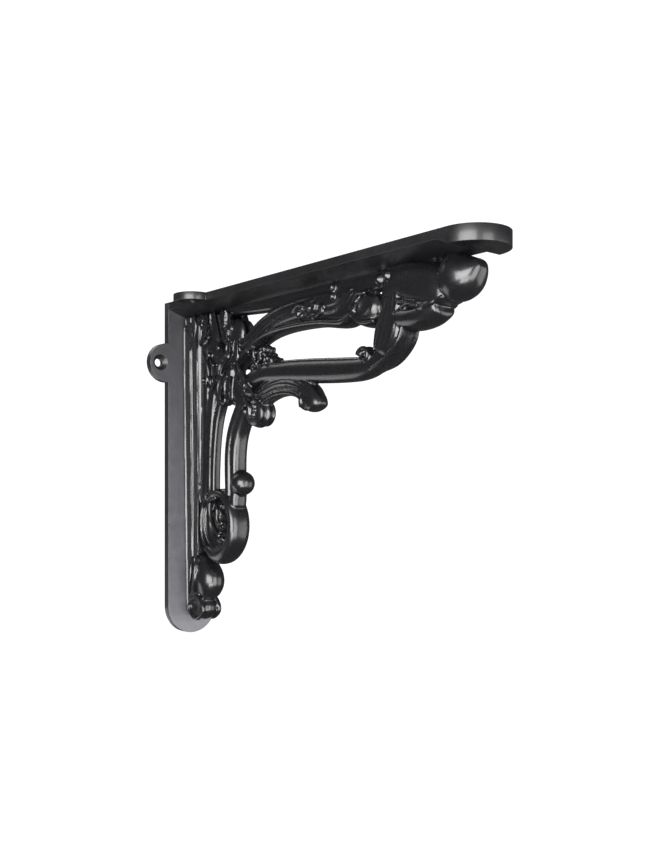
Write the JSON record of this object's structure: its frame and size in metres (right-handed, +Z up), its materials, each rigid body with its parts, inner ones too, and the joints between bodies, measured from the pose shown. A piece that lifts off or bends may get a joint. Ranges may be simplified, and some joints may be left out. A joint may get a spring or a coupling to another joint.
{
  "type": "shelf bracket",
  "caption": "Ornate black cast-iron shelf bracket: flat wall plate and shelf plate with side screw ears, joined by openwork scrolls, lobes and leaves.",
  "frame": {"origin": "on the wall plate's flat back face, on its middle line, level with its near screw ear", "axes": "+Z up; +Y into the wall; the arm runs out along -Y; X across the plates"},
  "size_m": [0.0646, 0.274, 0.22],
  "materials": {
    "black_iron": "black satin paint on cast iron"
  },
  "bodies": {
    "root": {"bracket": "black_iron"}
  },
  "joints": []
}
